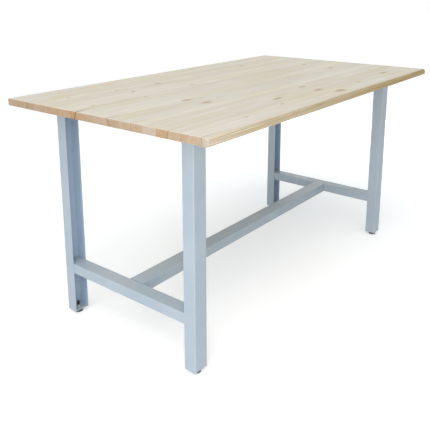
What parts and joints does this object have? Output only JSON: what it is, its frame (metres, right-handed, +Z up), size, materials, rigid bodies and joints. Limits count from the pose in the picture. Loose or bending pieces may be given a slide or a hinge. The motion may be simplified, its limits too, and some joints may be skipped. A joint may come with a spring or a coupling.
{
  "type": "workbench",
  "caption": "Workbench with a glued spruce board top on welded end frames of folded steel channel, tied by a low stretcher, standing on screw levelling feet.",
  "frame": {"origin": "on the floor, under the middle of the top", "axes": "+X along the long sides to the right, +Y from the front with its rolled edge to the rear, +Z up"},
  "size_m": [1.8, 1, 0.915],
  "materials": {
    "spruce_board": "planed and sanded, edge-glued staves, clear matt finish",
    "painted_steel": "blue-grey powder coat, semi-matt",
    "zinc_fasteners": "bright zinc plating",
    "blackened_steel": "black oxide, slightly oiled",
    "black_plastic": "moulded, matt"
  },
  "bodies": {
    "frame": {"table_top": "spruce_board", "leg_front_left": "painted_steel", "leg_front_right": "painted_steel", "leg_rear_left": "painted_steel", "leg_rear_right": "painted_steel", "crossbar_left": "painted_steel", "top_rail_left": "painted_steel", "crossbar_right": "painted_steel", "top_rail_right": "painted_steel", "stretcher": "painted_steel", "stretcher_plate_left": "painted_steel", "stretcher_bolts_left": "zinc_fasteners", "stretcher_washers_left": "zinc_fasteners", "rivet_nuts_left": "zinc_fasteners", "top_screws_left": "zinc_fasteners", "stretcher_plate_right": "painted_steel", "stretcher_bolts_right": "zinc_fasteners", "stretcher_washers_right": "zinc_fasteners", "rivet_nuts_right": "zinc_fasteners", "top_screws_right": "zinc_fasteners", "foot_plate_front_left": "painted_steel", "foot_nut_front_left": "painted_steel", "foot_plate_front_right": "painted_steel", "foot_nut_front_right": "painted_steel", "foot_plate_rear_left": "painted_steel", "foot_nut_rear_left": "painted_steel", "foot_plate_rear_right": "painted_steel", "foot_nut_rear_right": "painted_steel"},
    "pad_front_left": {"foot_pad_front_left": "black_plastic"},
    "stud_front_left": {"foot_stud_front_left": "blackened_steel"},
    "pad_front_right": {"foot_pad_front_right": "black_plastic"},
    "stud_front_right": {"foot_stud_front_right": "blackened_steel"},
    "pad_rear_left": {"foot_pad_rear_left": "black_plastic"},
    "stud_rear_left": {"foot_stud_rear_left": "blackened_steel"},
    "pad_rear_right": {"foot_pad_rear_right": "black_plastic"},
    "stud_rear_right": {"foot_stud_rear_right": "blackened_steel"}
  },
  "joints": [
    {"name": "foot_height_front_left", "type": "slide", "parent": "frame", "child": "pad_front_left", "axis": [0, 0, -1], "range_m": [-0.0025, 0.008]},
    {"name": "stud_turn_front_left", "type": "hinge", "parent": "pad_front_left", "child": "stud_front_left", "pos_m": [-0.7575, -0.325, 0], "axis": [0, 0, -1], "range_deg": [-601, 1921]},
    {"name": "foot_height_front_right", "type": "slide", "parent": "frame", "child": "pad_front_right", "axis": [0, 0, -1], "range_m": [-0.0025, 0.008]},
    {"name": "stud_turn_front_right", "type": "hinge", "parent": "pad_front_right", "child": "stud_front_right", "pos_m": [0.7575, -0.325, 0], "axis": [0, 0, -1], "range_deg": [-601, 1921]},
    {"name": "foot_height_rear_left", "type": "slide", "parent": "frame", "child": "pad_rear_left", "axis": [0, 0, -1], "range_m": [-0.0025, 0.008]},
    {"name": "stud_turn_rear_left", "type": "hinge", "parent": "pad_rear_left", "child": "stud_rear_left", "pos_m": [-0.7575, 0.325, 0], "axis": [0, 0, -1], "range_deg": [-601, 1921]},
    {"name": "foot_height_rear_right", "type": "slide", "parent": "frame", "child": "pad_rear_right", "axis": [0, 0, -1], "range_m": [-0.0025, 0.008]},
    {"name": "stud_turn_rear_right", "type": "hinge", "parent": "pad_rear_right", "child": "stud_rear_right", "pos_m": [0.7575, 0.325, 0], "axis": [0, 0, -1], "range_deg": [-601, 1921]}
  ],
  "couplings": [
    {"joint": "stud_turn_front_left", "follows": "foot_height_front_left", "rad_per_m": 4188.8},
    {"joint": "stud_turn_front_right", "follows": "foot_height_front_right", "rad_per_m": 4188.8},
    {"joint": "stud_turn_rear_left", "follows": "foot_height_rear_left", "rad_per_m": 4188.8},
    {"joint": "stud_turn_rear_right", "follows": "foot_height_rear_right", "rad_per_m": 4188.8}
  ]
}
